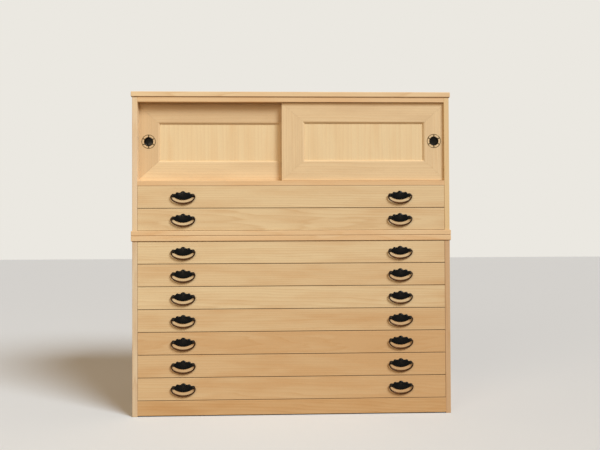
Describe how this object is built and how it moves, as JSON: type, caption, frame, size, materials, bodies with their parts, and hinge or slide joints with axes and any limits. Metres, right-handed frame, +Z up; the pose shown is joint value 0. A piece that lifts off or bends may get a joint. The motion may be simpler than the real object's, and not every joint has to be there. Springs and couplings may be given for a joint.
{
  "type": "kimono chest",
  "caption": "Two-part stacked kimono chest in pale paulownia: sliding-door compartment over shallow drawers, with black iron drop handles and a plain kickboard.",
  "frame": {"origin": "on the floor, at the middle of the footprint that the cases and their handles take up", "axes": "+Z up, the front with its handles faces -Y, +X to the right of someone who looks at the front"},
  "size_m": [1, 0.4486, 1.0092],
  "materials": {
    "kiri_case": "unfinished quarter-sawn paulownia, planed and lightly burnished",
    "kiri_fronts": "unfinished straight-grained paulownia",
    "kiri_boxes": "unfinished paulownia, planed",
    "kiri_doors": "unfinished quarter-sawn paulownia",
    "iron_plates": "blackened iron",
    "iron_bails": "blackened iron",
    "iron_pulls": "blackened iron, edges rubbed bright"
  },
  "bodies": {
    "lower_case": {"lower_top_board": "kiri_case", "lower_side_panels": "kiri_case", "lower_back_panel": "kiri_case", "bottom_board_and_kickboard": "kiri_case", "lower_runners": "kiri_case"},
    "upper_case": {"upper_top_board": "kiri_case", "upper_side_panels": "kiri_case", "upper_back_panel": "kiri_case", "head_rail_and_sill": "kiri_case", "upper_bottom_board": "kiri_case", "upper_runners": "kiri_case"},
    "left_door": {"left_door": "kiri_doors", "left_door_pull": "iron_pulls"},
    "right_door": {"right_door": "kiri_doors", "right_door_pull": "iron_pulls"},
    "drawer_1": {"drawer_1_front": "kiri_fronts", "drawer_1_box": "kiri_boxes", "drawer_1_handle_plates": "iron_plates"},
    "drawer_1_left_bail": {"drawer_1_left_bail": "iron_bails"},
    "drawer_1_right_bail": {"drawer_1_right_bail": "iron_bails"},
    "drawer_2": {"drawer_2_front": "kiri_fronts", "drawer_2_box": "kiri_boxes", "drawer_2_handle_plates": "iron_plates"},
    "drawer_2_left_bail": {"drawer_2_left_bail": "iron_bails"},
    "drawer_2_right_bail": {"drawer_2_right_bail": "iron_bails"},
    "drawer_3": {"drawer_3_front": "kiri_fronts", "drawer_3_box": "kiri_boxes", "drawer_3_handle_plates": "iron_plates"},
    "drawer_3_left_bail": {"drawer_3_left_bail": "iron_bails"},
    "drawer_3_right_bail": {"drawer_3_right_bail": "iron_bails"},
    "drawer_4": {"drawer_4_front": "kiri_fronts", "drawer_4_box": "kiri_boxes", "drawer_4_handle_plates": "iron_plates"},
    "drawer_4_left_bail": {"drawer_4_left_bail": "iron_bails"},
    "drawer_4_right_bail": {"drawer_4_right_bail": "iron_bails"},
    "drawer_5": {"drawer_5_front": "kiri_fronts", "drawer_5_box": "kiri_boxes", "drawer_5_handle_plates": "iron_plates"},
    "drawer_5_left_bail": {"drawer_5_left_bail": "iron_bails"},
    "drawer_5_right_bail": {"drawer_5_right_bail": "iron_bails"},
    "drawer_6": {"drawer_6_front": "kiri_fronts", "drawer_6_box": "kiri_boxes", "drawer_6_handle_plates": "iron_plates"},
    "drawer_6_left_bail": {"drawer_6_left_bail": "iron_bails"},
    "drawer_6_right_bail": {"drawer_6_right_bail": "iron_bails"},
    "drawer_7": {"drawer_7_front": "kiri_fronts", "drawer_7_box": "kiri_boxes", "drawer_7_handle_plates": "iron_plates"},
    "drawer_7_left_bail": {"drawer_7_left_bail": "iron_bails"},
    "drawer_7_right_bail": {"drawer_7_right_bail": "iron_bails"},
    "drawer_8": {"drawer_8_front": "kiri_fronts", "drawer_8_box": "kiri_boxes", "drawer_8_handle_plates": "iron_plates"},
    "drawer_8_left_bail": {"drawer_8_left_bail": "iron_bails"},
    "drawer_8_right_bail": {"drawer_8_right_bail": "iron_bails"},
    "drawer_9": {"drawer_9_front": "kiri_fronts", "drawer_9_box": "kiri_boxes", "drawer_9_handle_plates": "iron_plates"},
    "drawer_9_left_bail": {"drawer_9_left_bail": "iron_bails"},
    "drawer_9_right_bail": {"drawer_9_right_bail": "iron_bails"}
  },
  "joints": [
    {"name": "upper_case_lift", "type": "slide", "parent": "lower_case", "child": "upper_case", "axis": [0, 0, 1], "range_m": [0, 0.05]},
    {"name": "left_door_slide", "type": "slide", "parent": "upper_case", "child": "left_door", "axis": [1, 0, 0], "range_m": [0, 0.4485]},
    {"name": "right_door_slide", "type": "slide", "parent": "upper_case", "child": "right_door", "axis": [-1, 0, 0], "range_m": [0, 0.4485]},
    {"name": "drawer_1_slide", "type": "slide", "parent": "upper_case", "child": "drawer_1", "axis": [0, -1, 0], "range_m": [0, 0.32]},
    {"name": "drawer_1_left_bail_swing", "type": "hinge", "parent": "drawer_1", "child": "drawer_1_left_bail", "pos_m": [-0.3392, -0.22075, 0.6849], "axis": [-1, 0, 0], "range_deg": [-5, 100]},
    {"name": "drawer_1_right_bail_swing", "type": "hinge", "parent": "drawer_1", "child": "drawer_1_right_bail", "pos_m": [0.3392, -0.22075, 0.6849], "axis": [-1, 0, 0], "range_deg": [-5, 100]},
    {"name": "drawer_2_slide", "type": "slide", "parent": "upper_case", "child": "drawer_2", "axis": [0, -1, 0], "range_m": [0, 0.32]},
    {"name": "drawer_2_left_bail_swing", "type": "hinge", "parent": "drawer_2", "child": "drawer_2_left_bail", "pos_m": [-0.3392, -0.22075, 0.6145], "axis": [-1, 0, 0], "range_deg": [-5, 100]},
    {"name": "drawer_2_right_bail_swing", "type": "hinge", "parent": "drawer_2", "child": "drawer_2_right_bail", "pos_m": [0.3392, -0.22075, 0.6145], "axis": [-1, 0, 0], "range_deg": [-5, 100]},
    {"name": "drawer_3_slide", "type": "slide", "parent": "lower_case", "child": "drawer_3", "axis": [0, -1, 0], "range_m": [0, 0.32]},
    {"name": "drawer_3_left_bail_swing", "type": "hinge", "parent": "drawer_3", "child": "drawer_3_left_bail", "pos_m": [-0.3392, -0.22075, 0.5115], "axis": [-1, 0, 0], "range_deg": [-5, 100]},
    {"name": "drawer_3_right_bail_swing", "type": "hinge", "parent": "drawer_3", "child": "drawer_3_right_bail", "pos_m": [0.3392, -0.22075, 0.5115], "axis": [-1, 0, 0], "range_deg": [-5, 100]},
    {"name": "drawer_4_slide", "type": "slide", "parent": "lower_case", "child": "drawer_4", "axis": [0, -1, 0], "range_m": [0, 0.32]},
    {"name": "drawer_4_left_bail_swing", "type": "hinge", "parent": "drawer_4", "child": "drawer_4_left_bail", "pos_m": [-0.3392, -0.22075, 0.4411], "axis": [-1, 0, 0], "range_deg": [-5, 100]},
    {"name": "drawer_4_right_bail_swing", "type": "hinge", "parent": "drawer_4", "child": "drawer_4_right_bail", "pos_m": [0.3392, -0.22075, 0.4411], "axis": [-1, 0, 0], "range_deg": [-5, 100]},
    {"name": "drawer_5_slide", "type": "slide", "parent": "lower_case", "child": "drawer_5", "axis": [0, -1, 0], "range_m": [0, 0.32]},
    {"name": "drawer_5_left_bail_swing", "type": "hinge", "parent": "drawer_5", "child": "drawer_5_left_bail", "pos_m": [-0.3392, -0.22075, 0.3707], "axis": [-1, 0, 0], "range_deg": [-5, 100]},
    {"name": "drawer_5_right_bail_swing", "type": "hinge", "parent": "drawer_5", "child": "drawer_5_right_bail", "pos_m": [0.3392, -0.22075, 0.3707], "axis": [-1, 0, 0], "range_deg": [-5, 100]},
    {"name": "drawer_6_slide", "type": "slide", "parent": "lower_case", "child": "drawer_6", "axis": [0, -1, 0], "range_m": [0, 0.32]},
    {"name": "drawer_6_left_bail_swing", "type": "hinge", "parent": "drawer_6", "child": "drawer_6_left_bail", "pos_m": [-0.3392, -0.22075, 0.3003], "axis": [-1, 0, 0], "range_deg": [-5, 100]},
    {"name": "drawer_6_right_bail_swing", "type": "hinge", "parent": "drawer_6", "child": "drawer_6_right_bail", "pos_m": [0.3392, -0.22075, 0.3003], "axis": [-1, 0, 0], "range_deg": [-5, 100]},
    {"name": "drawer_7_slide", "type": "slide", "parent": "lower_case", "child": "drawer_7", "axis": [0, -1, 0], "range_m": [0, 0.32]},
    {"name": "drawer_7_left_bail_swing", "type": "hinge", "parent": "drawer_7", "child": "drawer_7_left_bail", "pos_m": [-0.3392, -0.22075, 0.2299], "axis": [-1, 0, 0], "range_deg": [-5, 100]},
    {"name": "drawer_7_right_bail_swing", "type": "hinge", "parent": "drawer_7", "child": "drawer_7_right_bail", "pos_m": [0.3392, -0.22075, 0.2299], "axis": [-1, 0, 0], "range_deg": [-5, 100]},
    {"name": "drawer_8_slide", "type": "slide", "parent": "lower_case", "child": "drawer_8", "axis": [0, -1, 0], "range_m": [0, 0.32]},
    {"name": "drawer_8_left_bail_swing", "type": "hinge", "parent": "drawer_8", "child": "drawer_8_left_bail", "pos_m": [-0.3392, -0.22075, 0.1595], "axis": [-1, 0, 0], "range_deg": [-5, 100]},
    {"name": "drawer_8_right_bail_swing", "type": "hinge", "parent": "drawer_8", "child": "drawer_8_right_bail", "pos_m": [0.3392, -0.22075, 0.1595], "axis": [-1, 0, 0], "range_deg": [-5, 100]},
    {"name": "drawer_9_slide", "type": "slide", "parent": "lower_case", "child": "drawer_9", "axis": [0, -1, 0], "range_m": [0, 0.32]},
    {"name": "drawer_9_left_bail_swing", "type": "hinge", "parent": "drawer_9", "child": "drawer_9_left_bail", "pos_m": [-0.3392, -0.22075, 0.0891], "axis": [-1, 0, 0], "range_deg": [-5, 100]},
    {"name": "drawer_9_right_bail_swing", "type": "hinge", "parent": "drawer_9", "child": "drawer_9_right_bail", "pos_m": [0.3392, -0.22075, 0.0891], "axis": [-1, 0, 0], "range_deg": [-5, 100]}
  ]
}
